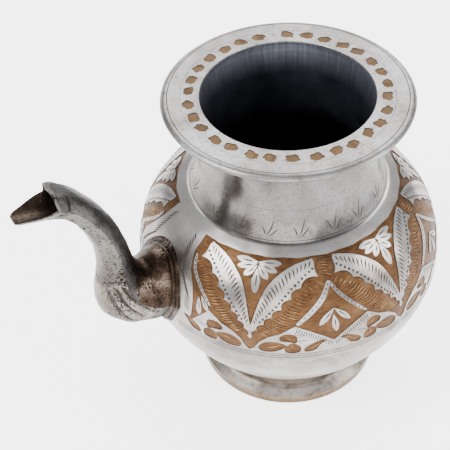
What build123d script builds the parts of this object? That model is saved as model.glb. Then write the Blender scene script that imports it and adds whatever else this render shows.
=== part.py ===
from build123d import *
import math
import os

# Tinned brass kalash pot with a bird-shaped pouring spout. Millimetres, +Z up.
# The origin is the centre of the foot's resting face, on the axis of the pot; the spout points along +X.

# Mouth and rim
POT_HEIGHT = 188.0
RIM_RADIUS = 65.0
MOUTH_RADIUS = 44.6
RIM_THICKNESS = 2.2
RIM_LINE_RADIUS = 61.2
ENGRAVED_LINE_WIDTH = 0.5
ENGRAVED_LINE_DEPTH = 0.3

# Neck
NECK_BOTTOM_RADIUS = 53.4
NECK_BOTTOM_Z = 134.2
NECK_TOP_Z = POT_HEIGHT - RIM_THICKNESS
NECK_WALL = 1.8
NECK_OUTLINE = [
    (NECK_BOTTOM_RADIUS, NECK_BOTTOM_Z),
    (48.9, 143.0),
    (46.7, 153.0),
    (46.3, 164.0),
    (47.0, 175.0),
    (49.0, NECK_TOP_Z),
]

# Body: two half shells that meet at the belly, drawn as superellipses
BELLY_RADIUS = 84.0
BELLY_Z = 80.1
UPPER_RISE = 63.0
UPPER_EXPONENT = 2.53
LOWER_DROP = 89.4
LOWER_EXPONENT = 1.5
SHOULDER_RADIUS = 53.4
SHOULDER_Z = 133.5
BOWL_BOTTOM_Z = 8.0
WALL = 2.0
SEAM_Z = 78.6
SEAM_HEIGHT = 0.8
BELLY_LINES_Z = (80.6, 82.0, 83.4)

# Foot ring
FOOT_RADIUS = 52.5
FOOT_EDGE_HEIGHT = 4.7
FOOT_BEVEL_RADIUS = 48.8
FOOT_BEVEL_Z = 8.4
FOOT_TOP_RADIUS = 45.4
FOOT_TOP_Z = 17.0
FOOT_RIM_WIDTH = 3.6

# Spout: stations along its middle line, each with
# (x, z, slope in degrees, half width, height of the back, depth of the front)
SPOUT_STATIONS = [
    (74.0, 93.0, 0.0, 19.0, 24.8, 17.5),
    (83.0, 93.0, 0.0, 18.6, 23.4, 17.2),
    (89.5, 94.5, 6.0, 17.4, 19.2, 18.4),
    (96.5, 98.5, 20.0, 16.0, 16.4, 19.8),
    (102.8, 107.0, 50.0, 13.6, 14.0, 18.4),
    (104.2, 120.0, 76.0, 11.6, 9.8, 10.6),
    (105.2, 135.0, 76.0, 10.2, 7.8, 8.8),
    (109.3, 150.0, 66.0, 9.6, 7.2, 8.0),
    (115.8, 163.0, 52.0, 9.5, 7.0, 7.4),
    (124.0, 173.4, 32.0, 9.5, 7.6, 6.0),
    (133.5, 178.8, 14.0, 9.4, 9.2, 5.2),
]
SPOUT_WALL = 2.4
SPOUT_BORE_START_X = 70.0
LIP_END_X = 151.5
LIP_BOTTOM_Z = 175.0
LIP_ROOT_TOP_Z = 179.4
LIP_TIP_TOP_Z = 177.8
LIP_ROOT_X = 128.5
LIP_ROOT_HALF_WIDTH = 9.0
LIP_TIP_HALF_WIDTH = 3.0
LIP_FLOOR = 1.8

# Spout root: a flat collar plate that follows the belly, and the solder bead around it
COLLAR_THICKNESS = 2.6
COLLAR_HALF_WIDTH = 20.2
COLLAR_TOP = 25.4
COLLAR_BOTTOM = 18.6
BEAD_WIDTH = 1.6
BEAD_HEIGHT = 1.4
WALL_HOLE_RADIUS = 11.0
SPOUT_ROOT_Z = 93.0


def body_radius(z):
    """Outer radius of the body at height z."""
    if z >= BELLY_Z:
        part = 1 - ((z - BELLY_Z) / UPPER_RISE) ** UPPER_EXPONENT
        return BELLY_RADIUS * part ** (1 / UPPER_EXPONENT)
    part = 1 - ((BELLY_Z - z) / LOWER_DROP) ** LOWER_EXPONENT
    return BELLY_RADIUS * part ** (1 / LOWER_EXPONENT)


UPPER_LEVELS = (SEAM_Z + SEAM_HEIGHT, 90.0, 101.0, 111.0, 119.0, 126.0)
UPPER_OUTLINE = [(body_radius(z), z) for z in UPPER_LEVELS] + [(SHOULDER_RADIUS, SHOULDER_Z)]
LOWER_LEVELS = (17.0, 27.0, 40.0, 53.0, 66.0, SEAM_Z)
LOWER_OUTLINE = [(0.0, BOWL_BOTTOM_Z), (26.0, 9.4)] + [(body_radius(z), z) for z in LOWER_LEVELS]


def inset(points, distance, last_level):
    """Outline moved inwards, along its own normals; the last point stays at its level or on the axis."""
    moved = []
    for i, (r, z) in enumerate(points):
        r0, z0 = points[max(i - 1, 0)]
        r1, z1 = points[min(i + 1, len(points) - 1)]
        length = math.hypot(r1 - r0, z1 - z0)
        moved.append((r - distance * (z1 - z0) / length, z + distance * (r1 - r0) / length))
    if points[0][0] == 0.0:
        moved[0] = (0.0, moved[0][1])
    else:
        moved[0] = (moved[0][0], points[0][1])
    moved[-1] = (moved[-1][0], last_level)
    return moved


def shell_profile(outer, inner):
    """Closed half section between an outer and an inner outline; used inside a BuildLine."""
    Spline(*outer)
    Line(outer[-1], inner[-1])
    Spline(*inner)
    Line(inner[0], outer[0])


def save(builder, name):
    builder.part.label = name
    export_step(builder.part, f"parts/{name}.step")


os.makedirs("parts", exist_ok=True)

# --- Mouth rim: a turned flange ring with a rounded drop edge and one engraved circle ---
with BuildPart() as mouth_rim_flange:
    with BuildSketch(Plane.XZ):
        with BuildLine():
            Line((MOUTH_RADIUS, POT_HEIGHT), (61.6, POT_HEIGHT))
            drop_edge = (RIM_RADIUS, POT_HEIGHT - 2.2)
            ThreePointArc((61.6, POT_HEIGHT), (64.1, POT_HEIGHT - 0.9), drop_edge)
            ThreePointArc(drop_edge, (64.7, POT_HEIGHT - 3.4), (63.6, POT_HEIGHT - 3.8))
            Line((63.6, POT_HEIGHT - 3.8), (60.0, NECK_TOP_Z))
            Line((60.0, NECK_TOP_Z), (MOUTH_RADIUS, NECK_TOP_Z))
            Line((MOUTH_RADIUS, NECK_TOP_Z), (MOUTH_RADIUS, POT_HEIGHT))
        make_face()
    revolve(axis=Axis.Z)
    with BuildSketch(Plane.XY.offset(POT_HEIGHT - ENGRAVED_LINE_DEPTH)):
        Circle(RIM_LINE_RADIUS + ENGRAVED_LINE_WIDTH / 2)
        Circle(RIM_LINE_RADIUS - ENGRAVED_LINE_WIDTH / 2, mode=Mode.SUBTRACT)
    extrude(amount=ENGRAVED_LINE_DEPTH, mode=Mode.SUBTRACT)

# --- Neck collar: a concave flared sleeve between the shoulder and the rim ---
with BuildPart() as neck_collar:
    with BuildSketch(Plane.XZ):
        with BuildLine():
            shell_profile(NECK_OUTLINE, inset(NECK_OUTLINE, NECK_WALL, NECK_TOP_Z))
        make_face()
    revolve(axis=Axis.Z)

# --- Brazing ring between the neck and the shoulder ---
with BuildPart() as neck_braze_seam:
    with BuildSketch(Plane.XZ):
        with BuildLine():
            Polyline(
                (NECK_BOTTOM_RADIUS, SHOULDER_Z),
                (NECK_BOTTOM_RADIUS, NECK_BOTTOM_Z),
                (NECK_BOTTOM_RADIUS - WALL, NECK_BOTTOM_Z),
                (NECK_BOTTOM_RADIUS - WALL, SHOULDER_Z),
                close=True,
            )
        make_face()
    revolve(axis=Axis.Z)


def envelope(grow):
    """Solid inside the body's outer surface, grown outwards by the given amount: used only to cut with."""
    lower = inset(LOWER_OUTLINE, -grow, SEAM_Z)
    upper = inset(UPPER_OUTLINE, -grow, SHOULDER_Z)
    with BuildPart() as solid:
        with BuildSketch(Plane.XZ):
            with BuildLine():
                Spline(*lower)
                Line(lower[-1], upper[0])
                Spline(*upper)
                Line(upper[-1], (0, SHOULDER_Z))
                Line((0, SHOULDER_Z), lower[0])
            make_face()
        revolve(axis=Axis.Z)
    return solid.part


# --- Upper body shell: three turned lines at its foot and the hole behind the spout ---
with BuildPart() as upper_body_shell:
    with BuildSketch(Plane.XZ):
        with BuildLine():
            shell_profile(UPPER_OUTLINE, inset(UPPER_OUTLINE, WALL, SHOULDER_Z))
        make_face()
    revolve(axis=Axis.Z)
    for line_z in BELLY_LINES_Z:
        with BuildSketch(Plane.XY.offset(line_z)):
            Circle(BELLY_RADIUS + 2)
            Circle(body_radius(line_z) - ENGRAVED_LINE_DEPTH, mode=Mode.SUBTRACT)
        extrude(amount=ENGRAVED_LINE_WIDTH, mode=Mode.SUBTRACT)
    with BuildSketch(Plane.YZ.offset(SPOUT_BORE_START_X)):
        with Locations((0, SPOUT_ROOT_Z)):
            Circle(WALL_HOLE_RADIUS)
    extrude(amount=BELLY_RADIUS - SPOUT_BORE_START_X, mode=Mode.SUBTRACT)

# --- Brazing ring around the belly, between the two half shells ---
with BuildPart() as belly_braze_seam:
    with BuildSketch(Plane.XY.offset(SEAM_Z)):
        Circle(body_radius(SEAM_Z))
        Circle(body_radius(SEAM_Z) - WALL, mode=Mode.SUBTRACT)
    extrude(amount=SEAM_HEIGHT)

# --- Lower body bowl ---
with BuildPart() as lower_body_bowl:
    with BuildSketch(Plane.XZ):
        with BuildLine():
            shell_profile(LOWER_OUTLINE, inset(LOWER_OUTLINE, WALL, SEAM_Z))
        make_face()
    revolve(axis=Axis.Z)

# --- Foot ring: waisted ring with a bevelled flange, hollow below ---
with BuildPart() as foot_ring:
    with BuildSketch(Plane.XZ):
        with BuildLine():
            Line((FOOT_RADIUS - FOOT_RIM_WIDTH, 0), (FOOT_RADIUS, 0))
            Line((FOOT_RADIUS, 0), (FOOT_RADIUS, FOOT_EDGE_HEIGHT))
            Line((FOOT_RADIUS, FOOT_EDGE_HEIGHT), (FOOT_BEVEL_RADIUS, FOOT_BEVEL_Z))
            ThreePointArc((FOOT_BEVEL_RADIUS, FOOT_BEVEL_Z), (45.3, 12.6), (FOOT_TOP_RADIUS, FOOT_TOP_Z))
            Line((FOOT_TOP_RADIUS, FOOT_TOP_Z), (FOOT_TOP_RADIUS - 2.6, FOOT_TOP_Z))
            inner_edge = (FOOT_RADIUS - FOOT_RIM_WIDTH, 0)
            ThreePointArc((FOOT_TOP_RADIUS - 2.6, FOOT_TOP_Z), (43.0, 11.0), inner_edge)
        make_face()
    revolve(axis=Axis.Z)
    add(envelope(0), mode=Mode.SUBTRACT)

# --- Brazing fillet under the bowl, where the foot ring is joined on ---
with BuildPart() as foot_braze_seam:
    with BuildSketch(Plane.XZ):
        with BuildLine():
            Polyline((39.6, 10.0), (43.4, 10.0), (43.0, 13.4), (41.2, 15.6), (38.6, 13.0), close=True)
        make_face()
    revolve(axis=Axis.Z)
    add(envelope(0), mode=Mode.SUBTRACT)
    add(foot_ring.part, mode=Mode.SUBTRACT)


def spout_loft(wall):
    """The spout's form, reduced all round by the wall: arched back, flat tapering sides, rounded front."""
    with BuildPart() as form:
        for x, z, slope, half_width, back, front in SPOUT_STATIONS:
            w = half_width - wall
            up = back - wall
            down = front - wall
            tilt = math.radians(slope)
            heading = (math.cos(tilt), 0, math.sin(tilt))
            with BuildSketch(Plane(origin=(x, 0, z), x_dir=(0, 1, 0), z_dir=heading)):
                with BuildLine():
                    EllipticalCenterArc((0, 0), w, up, 0, arc_size=180)
                    Line((-w, 0), (-0.62 * w, -0.7 * down))
                    ThreePointArc((-0.62 * w, -0.7 * down), (0, -down), (0.62 * w, -0.7 * down))
                    Line((0.62 * w, -0.7 * down), (w, 0))
                make_face()
        loft()
    return form.part


def lip_loft(narrowing, floor_z, end_x, root_top_z, tip_top_z):
    """A tapering block under the beak: the lower lip, or the trough cut into it."""
    with BuildPart() as block:
        root = (LIP_ROOT_X, LIP_ROOT_HALF_WIDTH, root_top_z)
        tip = (end_x, LIP_TIP_HALF_WIDTH, tip_top_z)
        for x, half_width, top_z in (root, tip):
            with BuildSketch(Plane.YZ.offset(x)):
                with Locations((0, (floor_z + top_z) / 2)):
                    Rectangle(2 * (half_width - narrowing), top_z - floor_z)
        loft()
    return block.part


# --- Bird spout: one hollow casting with its breast at the root, an S-curved neck and an open beak ---
with BuildPart() as bird_spout_casting:
    add(spout_loft(0.0))
    add(lip_loft(0.0, LIP_BOTTOM_Z, LIP_END_X, LIP_ROOT_TOP_Z, LIP_TIP_TOP_Z))
    add(spout_loft(SPOUT_WALL), mode=Mode.SUBTRACT)
    trough_top = LIP_ROOT_TOP_Z + 2
    trough = lip_loft(2.0, LIP_BOTTOM_Z + LIP_FLOOR, LIP_END_X - 2.0, trough_top, trough_top)
    add(trough, mode=Mode.SUBTRACT)
    add(envelope(COLLAR_THICKNESS), mode=Mode.SUBTRACT)


def root_outline(half_width, top, bottom):
    """Outline of the spout's root, arched above and tapering below; used inside a BuildLine."""
    EllipticalCenterArc((0, 0), half_width, top, 0, arc_size=180)
    Line((-half_width, 0), (-0.7 * half_width, -0.72 * bottom))
    corner = (0.7 * half_width, -0.72 * bottom)
    ThreePointArc((-corner[0], corner[1]), (0, -bottom), corner)
    Line((0.7 * half_width, -0.72 * bottom), (half_width, 0))


ROOT_PLANE = Plane(origin=(SPOUT_BORE_START_X - 10, 0, SPOUT_ROOT_Z), x_dir=(0, 1, 0), z_dir=(1, 0, 0))

# --- Collar plate at the spout's root, following the belly ---
with BuildPart() as spout_root_collar:
    with BuildSketch(ROOT_PLANE):
        with BuildLine():
            root_outline(COLLAR_HALF_WIDTH, COLLAR_TOP, COLLAR_BOTTOM)
        make_face()
        Circle(WALL_HOLE_RADIUS, mode=Mode.SUBTRACT)
    extrude(amount=34)
    add(envelope(COLLAR_THICKNESS), mode=Mode.INTERSECT)
    add(envelope(0), mode=Mode.SUBTRACT)

# --- Solder bead laid around the collar, on the belly ---
with BuildPart() as spout_solder_bead:
    with BuildSketch(ROOT_PLANE):
        with BuildLine():
            grow = BEAD_WIDTH
            root_outline(COLLAR_HALF_WIDTH + grow, COLLAR_TOP + grow, COLLAR_BOTTOM + grow)
        make_face()
    extrude(amount=34)
    with BuildSketch(ROOT_PLANE):
        with BuildLine():
            root_outline(COLLAR_HALF_WIDTH, COLLAR_TOP, COLLAR_BOTTOM)
        make_face()
    extrude(amount=34, mode=Mode.SUBTRACT)
    add(envelope(BEAD_HEIGHT), mode=Mode.INTERSECT)
    add(envelope(0), mode=Mode.SUBTRACT)

save(mouth_rim_flange, "mouth_rim_flange")
save(neck_collar, "neck_collar")
save(neck_braze_seam, "neck_braze_seam")
save(upper_body_shell, "upper_body_shell")
save(belly_braze_seam, "belly_braze_seam")
save(lower_body_bowl, "lower_body_bowl")
save(foot_ring, "foot_ring")
save(foot_braze_seam, "foot_braze_seam")
save(bird_spout_casting, "bird_spout_casting")
save(spout_root_collar, "spout_root_collar")
save(spout_solder_bead, "spout_solder_bead")
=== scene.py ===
import bmesh
import bpy
import math
import random
from mathutils import Matrix, Vector, kdtree, noise
from mathutils.geometry import delaunay_2d_cdt


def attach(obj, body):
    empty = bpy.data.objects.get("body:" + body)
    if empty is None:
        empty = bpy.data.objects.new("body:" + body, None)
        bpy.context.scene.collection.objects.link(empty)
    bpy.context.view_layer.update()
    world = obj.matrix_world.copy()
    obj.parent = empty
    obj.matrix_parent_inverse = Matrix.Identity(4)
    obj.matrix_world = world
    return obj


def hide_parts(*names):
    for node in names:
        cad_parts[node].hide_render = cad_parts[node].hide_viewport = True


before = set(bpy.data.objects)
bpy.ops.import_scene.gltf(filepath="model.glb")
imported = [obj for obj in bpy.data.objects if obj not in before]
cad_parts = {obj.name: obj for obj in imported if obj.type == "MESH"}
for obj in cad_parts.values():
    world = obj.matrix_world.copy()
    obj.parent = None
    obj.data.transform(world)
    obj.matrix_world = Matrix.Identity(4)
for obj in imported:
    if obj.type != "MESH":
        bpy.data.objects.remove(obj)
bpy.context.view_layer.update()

MM = 0.001
random.seed(41)

# Sizes of the pot in millimetres, the same as the solids it stands on
RIM_TOP = 188.0
RIM_RADIUS = 65.0
MOUTH_RADIUS = 44.6
RIM_THICKNESS = 2.2
NECK_WALL = 1.8
NECK_OUTLINE = [(53.4, 134.2), (48.9, 143.0), (46.7, 153.0), (46.3, 164.0), (47.0, 175.0), (49.0, 185.8)]
BELLY_RADIUS = 84.0
BELLY_Z = 80.1
UPPER_RISE = 63.0
UPPER_EXPONENT = 2.53
LOWER_DROP = 89.4
LOWER_EXPONENT = 1.5
SHELL_FOOT_Z = 79.4
SHELL_TOP = (53.4, 133.5)
SHOULDER_Z = 122.0
SHOULDER_EASE = 1.58
WALL = 2.0
SPOUT_ROOT_Z = 93.0
WALL_HOLE_RADIUS = 11.0

# The engraver cuts through the tin into the brass below
CUT_DEPTH = 0.30
GROOVE_DEPTH = 0.26

# Flat drawings of a turned surface are this many millimetres wide per degree, as at a radius of 75
FLAT_WIDTH = math.radians(1) * 75.0
# How far the rows of an engraved mesh keep from a corner of its section, and the fewest points in a row
CORNER_GAP = 0.35
FEWEST_IN_ROW = 24
# Wiping and turning marks are unrolled at this radius
MEAN_RADIUS = 70.0 * MM


# ---------------------------------------------------------------- node materials


def linear(code):
    """An sRGB hex value as linear light."""
    channels = [int(code[i : i + 2], 16) / 255 for i in (1, 3, 5)]
    return tuple(c / 12.92 if c <= 0.04045 else ((c + 0.055) / 1.055) ** 2.4 for c in channels) + (1.0,)


def add(tree, kind, inputs=None, out=0, stops=(), **settings):
    """Adds one node and gives back one of its outputs; an input is a value or another node's output."""
    node = tree.nodes.new("ShaderNode" + kind)
    for key, value in settings.items():
        setattr(node, key, value)
    for key, value in (inputs or {}).items():
        if isinstance(value, bpy.types.NodeSocket):
            tree.links.new(value, node.inputs[key])
        else:
            node.inputs[key].default_value = value
    if stops:
        elements = node.color_ramp.elements
        while len(elements) < len(stops):
            elements.new(0.5)
        for element, (position, code) in zip(elements, stops):
            element.position, element.color = position, linear(code)
    return node.outputs[out] if node.outputs else None


def new_material(name):
    """An empty node material and its tree."""
    material = bpy.data.materials.new(name)
    material.use_nodes = True
    material.node_tree.nodes.clear()
    return material, material.node_tree


def surfaced(material, inputs):
    """Gives the material its shader with these socket values and links."""
    tree = material.node_tree
    add(tree, "OutputMaterial", {"Surface": add(tree, "BsdfPrincipled", inputs)})
    return material


def darkened(tree, colour, *layers):
    """The colour darkened by one pattern after another, each (pattern, share, ramp stops)."""
    for pattern, share, stops in layers:
        shade = add(tree, "ValToRGB", {"Fac": pattern}, stops=stops)
        colour = add(tree, "Mix", {0: share, 6: colour, 7: shade}, 2, data_type="RGBA", blend_type="MULTIPLY")
    return colour


def relief(tree, *layers):
    """The surface raised by one pattern after another, each (pattern, depth in mm, strength)."""
    normal = None
    for pattern, depth_mm, strength in layers:
        below = {"Normal": normal} if normal else {}
        inputs = {"Height": pattern, "Distance": depth_mm * MM, "Strength": strength}
        normal = add(tree, "Bump", inputs | below)
    return normal


def patches(space, size_mm, detail=3.0, roughness=0.55, distortion=0.0):
    """The socket values of a cloudy pattern with patches about size_mm across."""
    scale = 1000.0 / size_mm
    return dict(Vector=space, Scale=scale, Detail=detail, Roughness=roughness, Distortion=distortion)


def around_axis(tree, stretch):
    """Coordinates that run round the pot and along its height: wiping and turning marks follow them."""
    parts = add(tree, "SeparateXYZ", {"Vector": add(tree, "TexCoord", out="Object")}).node.outputs
    angle = add(tree, "Math", {0: parts["Y"], 1: parts["X"]}, operation="ARCTAN2")
    arc = add(tree, "Math", {0: angle, 1: MEAN_RADIUS}, operation="MULTIPLY")
    unrolled = add(tree, "CombineXYZ", {"X": arc, "Z": parts["Z"]})
    return add(tree, "Mapping", {"Vector": unrolled, "Scale": stretch})


def tin_wash(name, tones, gloss=(0.24, 0.40), cloud_mm=34.0, dents=0.7, painted_light_above=None):
    """Hot-dipped tin wiped on by hand: soft grey, cloudy, with faint wiping marks and small dents.

    Above a given height the tin is painted whiter: painted light on the shoulder, which faces up.
    """
    material, tree = new_material(name)
    space = add(tree, "TexCoord", out="Object")
    clouds = add(tree, "TexNoise", patches(space, cloud_mm, detail=4.0, distortion=0.6))
    colour = add(tree, "ValToRGB", {"Fac": clouds}, stops=list(zip((0.30, 0.50, 0.70), tones)))
    specks = add(tree, "TexNoise", patches(space, 5.0, detail=5.0, roughness=0.7))
    grain = add(tree, "TexNoise", patches(space, 1.2, detail=4.0, roughness=0.7))
    speck_layer = (specks, 0.8, ((0.30, "#B4ADA6"), (0.42, "#FFFFFF")))
    colour = darkened(tree, colour, speck_layer, (grain, 0.5, ((0.36, "#9A948E"), (0.5, "#FFFFFF"))))
    # Painted light: the tin is made whiter above a given height
    if painted_light_above:
        height = add(tree, "SeparateXYZ", {"Vector": space}, out="Z")
        reach = {"Value": height, "From Min": painted_light_above, "From Max": painted_light_above + 0.010, "To Max": 0.9}
        painted_light_share = add(tree, "MapRange", reach)
        whiter = {0: painted_light_share, 6: colour, 7: linear("#858381")}
        colour = add(tree, "Mix", whiter, 2, data_type="RGBA", blend_type="SCREEN")
    smears = add(tree, "TexNoise", patches(space, 11.0, detail=5.0))
    dull = add(tree, "MapRange", {"Value": smears, "To Min": gloss[0], "To Max": gloss[1]})
    wide = add(tree, "TexNoise", patches(space, 26.0, detail=1.0))
    small = add(tree, "TexNoise", patches(space, 9.0, detail=1.0))
    wiping = add(tree, "TexNoise", patches(around_axis(tree, (0.08, 1, 1)), 2.2))
    normal = relief(tree, (wide, 3.0, dents), (small, 0.4, 0.4), (wiping, 0.1, 0.35))
    return surfaced(material, {"Metallic": 1.0, "Base Color": colour, "Roughness": dull, "Normal": normal})


def cut_brass(name, tones, gloss=(0.42, 0.6), tool_mm=1.1):
    """Brass laid bare by the graver and browned with age: tan, matt, with short parallel tool marks."""
    material, tree = new_material(name)
    clouds = add(tree, "TexNoise", patches(add(tree, "TexCoord", out="Object"), 13.0, 5.0, roughness=0.65))
    colour = add(tree, "ValToRGB", {"Fac": clouds}, stops=list(zip((0.30, 0.50, 0.68), tones)))
    marks = add(tree, "TexNoise", patches(around_axis(tree, (0.22, 1, 1)), tool_mm, distortion=0.8))
    colour = darkened(tree, colour, (marks, 0.45, ((0.3, "#7A5A42"), (0.55, "#FFF6EA"))))
    dull = add(tree, "MapRange", {"Value": clouds, "To Min": gloss[0], "To Max": gloss[1]})
    normal = relief(tree, (marks, 0.35, 0.7))
    return surfaced(material, {"Metallic": 1.0, "Base Color": colour, "Roughness": dull, "Normal": normal})


def groove_dirt():
    """Old polish and oxide packed in the cuts: dark, matt, hardly metallic."""
    material, tree = new_material("oxide_in_grooves")
    grain = add(tree, "TexNoise", patches(add(tree, "TexCoord", out="Object"), 1.6))
    colour = add(tree, "Mix", {0: grain, 6: linear("#3B342D"), 7: linear("#0E0C0B")}, 2, data_type="RGBA")
    return surfaced(material, {"Metallic": 0.35, "Base Color": colour, "Roughness": 0.62})


def shaded_inside_tin():
    """Tin inside the pot, painted nearly black as the shade inside it, with a painted highlight in cold
    streaks near the mouth.
    """
    material, tree = new_material("painted_shade_inside_tin")
    space = add(tree, "TexCoord", out="Object")
    clouds = add(tree, "TexNoise", patches(space, 20.0, detail=4.0))
    inside_shade = add(tree, "ValToRGB", {"Fac": clouds}, stops=((0.35, "#2B2B33"), (0.7, "#43454F")))
    # A painted highlight: towards the mouth the colour rises to a pale blue-grey in streaks
    height = add(tree, "SeparateXYZ", {"Vector": space}, out="Z")
    painted_highlight_rise = add(tree, "MapRange", {"Value": height, "From Min": 0.168, "From Max": 0.190})
    highlight_streaks = add(tree, "TexNoise", patches(around_axis(tree, (1, 1, 0.1)), 3.0))
    share = add(tree, "Math", {0: painted_highlight_rise, 1: highlight_streaks}, operation="MULTIPLY")
    colour = add(tree, "Mix", {0: share, 6: inside_shade, 7: linear("#A4A7B4")}, 2, data_type="RGBA")
    dull = add(tree, "MapRange", {"Value": clouds, "To Min": 0.32, "To Max": 0.5})
    rings = add(tree, "TexNoise", patches(around_axis(tree, (0.02, 1, 1)), 1.8, detail=2.0))
    normal = relief(tree, (rings, 0.2, 0.5))
    return surfaced(material, {"Metallic": 0.8, "Base Color": colour, "Roughness": dull, "Normal": normal})


def worn_foot_tin():
    """Tin on the foot: grey above, brown brass where it is rubbed thin along the bottom edge, and darker
    brown in the waist.
    """
    material, tree = new_material("worn_foot_tin")
    space = add(tree, "TexCoord", out="Object")
    height = add(tree, "SeparateXYZ", {"Vector": space}, out="Z")
    cloud = add(tree, "TexNoise", patches(space, 9.0, detail=5.0))
    ragged = add(tree, "Math", {0: cloud, 1: 4.5 * MM, 2: -2.25 * MM}, operation="MULTIPLY_ADD")
    level = add(tree, "Math", {0: height, 1: ragged}, operation="ADD")
    band = add(tree, "MapRange", {"Value": level, "From Min": 0.0, "From Max": 0.018})
    edge = ((0.0, "#5E4A38"), (0.20, "#6D5A47"))
    waist = ((0.30, "#7D7771"), (0.46, "#7A746E"), (0.56, "#554B42"), (0.95, "#4A4138"))
    wear = add(tree, "ValToRGB", {"Fac": band}, stops=edge + waist)
    specks = add(tree, "TexNoise", patches(space, 3.0, detail=4.0))
    colour = darkened(tree, wear, (specks, 0.5, ((0.34, "#9A8877"), (0.5, "#FFFFFF"))))
    smears = add(tree, "TexNoise", patches(space, 6.0))
    dull = add(tree, "MapRange", {"Value": smears, "To Min": 0.28, "To Max": 0.46})
    dents = add(tree, "TexNoise", patches(space, 18.0))
    turning = add(tree, "TexNoise", patches(around_axis(tree, (0.03, 1, 1)), 1.4, detail=2.0))
    normal = relief(tree, (dents, 1.2, 0.5), (turning, 0.12, 0.4))
    return surfaced(material, {"Metallic": 1.0, "Base Color": colour, "Roughness": dull, "Normal": normal})


def pitted_casting(name, tones, pits=1.0, pits_below=0.452, pit_mm=1.0):
    """A tinned sand casting: grey, grainy, with black gas pits that the tin never filled.

    The sand grain of a real casting is finer than 1 mm; it is drawn as coarse as it needs to show.
    """
    material, tree = new_material(name)
    space = add(tree, "TexCoord", out="Object")
    clouds = add(tree, "TexNoise", patches(space, 14.0, detail=5.0, roughness=0.6))
    colour = add(tree, "ValToRGB", {"Fac": clouds}, stops=list(zip((0.30, 0.52, 0.72), tones)))
    grit = add(tree, "TexNoise", patches(space, pit_mm, detail=2.0, roughness=0.5))
    zone = add(tree, "TexNoise", patches(space, 21.0, detail=1.0))
    zone_part = add(tree, "Math", {0: zone, 1: 0.35}, operation="MULTIPLY")
    level = add(tree, "Math", {0: grit, 1: 0.65, 2: zone_part}, operation="MULTIPLY_ADD")
    pit_stops = ((pits_below - 0.035, "#1E1A17"), (pits_below, "#FFFFFF"))
    pit_edges = add(tree, "ValToRGB", {"Fac": level}, stops=pit_stops)
    sand = add(tree, "TexNoise", patches(space, 1.0, roughness=0.7))
    sand_layer = (sand, 0.7 * pits, ((0.40, "#4F4943"), (0.55, "#FFFFFF")))
    colour = darkened(tree, colour, sand_layer, (level, pits, pit_stops))
    dull = add(tree, "MapRange", {"Value": grit, "To Min": 0.30, "To Max": 0.52})
    lumps = add(tree, "TexNoise", patches(space, 9.0))
    normal = relief(tree, (lumps, 0.9, 0.5), (grit, 0.35, 0.6), (pit_edges, 0.3, 0.6))
    return surfaced(material, {"Metallic": 1.0, "Base Color": colour, "Roughness": dull, "Normal": normal})


# The belly's tin is painted whiter on the shoulder, as light falling on it
BELLY_TIN = tin_wash("hot_dipped_tin_wash", ("#6F6761", "#8E8984", "#A6A4A2"), painted_light_above=0.118)
BOWL_TIN = tin_wash("rubbed_bowl_tin", ("#625850", "#857E78", "#A09D9B"), cloud_mm=26.0)
# The neck has the belly's tin, painted darker as the shade on the upright neck
SHADED_NECK_TIN = tin_wash("neck_tin_painted_darker", ("#4B4642", "#5E5A57", "#727070"), gloss=(0.20, 0.34), dents=0.8)
RIM_TIN = tin_wash("rim_tin", ("#6E6A67", "#84817F", "#969595"), gloss=(0.34, 0.5), cloud_mm=22.0)
CUT_BRASS = cut_brass("browned_cut_brass", ("#432F21", "#573F2B", "#6C5139"))
# Bright tan strokes beside the dark feather cuts: a painted glint on the cut edges
GLINT_CUT = cut_brass("painted_glint_feather_cut", ("#8E6B45", "#A17C52", "#B08D64"), gloss=(0.35, 0.5))
HAMMERED_BRASS = cut_brass("hammered_rim_brass", ("#43342A", "#54422F", "#645039"), tool_mm=1.6)
GROOVE = groove_dirt()
SHADED_INSIDE_TIN = shaded_inside_tin()
FOOT_TIN = worn_foot_tin()
CASTING = pitted_casting(
    "pitted_spout_casting", ("#47423D", "#5E5A55", "#74706C"), pits_below=0.44, pit_mm=1.5
)
BREAST = pitted_casting("dark_grainy_breast", ("#5D554E", "#7D756D", "#98918A"), pits_below=0.43)
# The spout's back is the same casting, painted dark blue-grey as the shade on its rounded top
SHADED_BACK_CASTING = pitted_casting("painted_shade_spout_back", ("#2C2A29", "#3E3C3B", "#575452"), pits=0.25)
SOLDER = pitted_casting("browned_solder", ("#1C1512", "#40332A", "#86766A"))
BEAK_INSIDE = pitted_casting("dark_beak_inside", ("#211B17", "#372E27", "#4B4037"), pits=0.6)


# ---------------------------------------------------------------- turned forms and engraving


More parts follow.
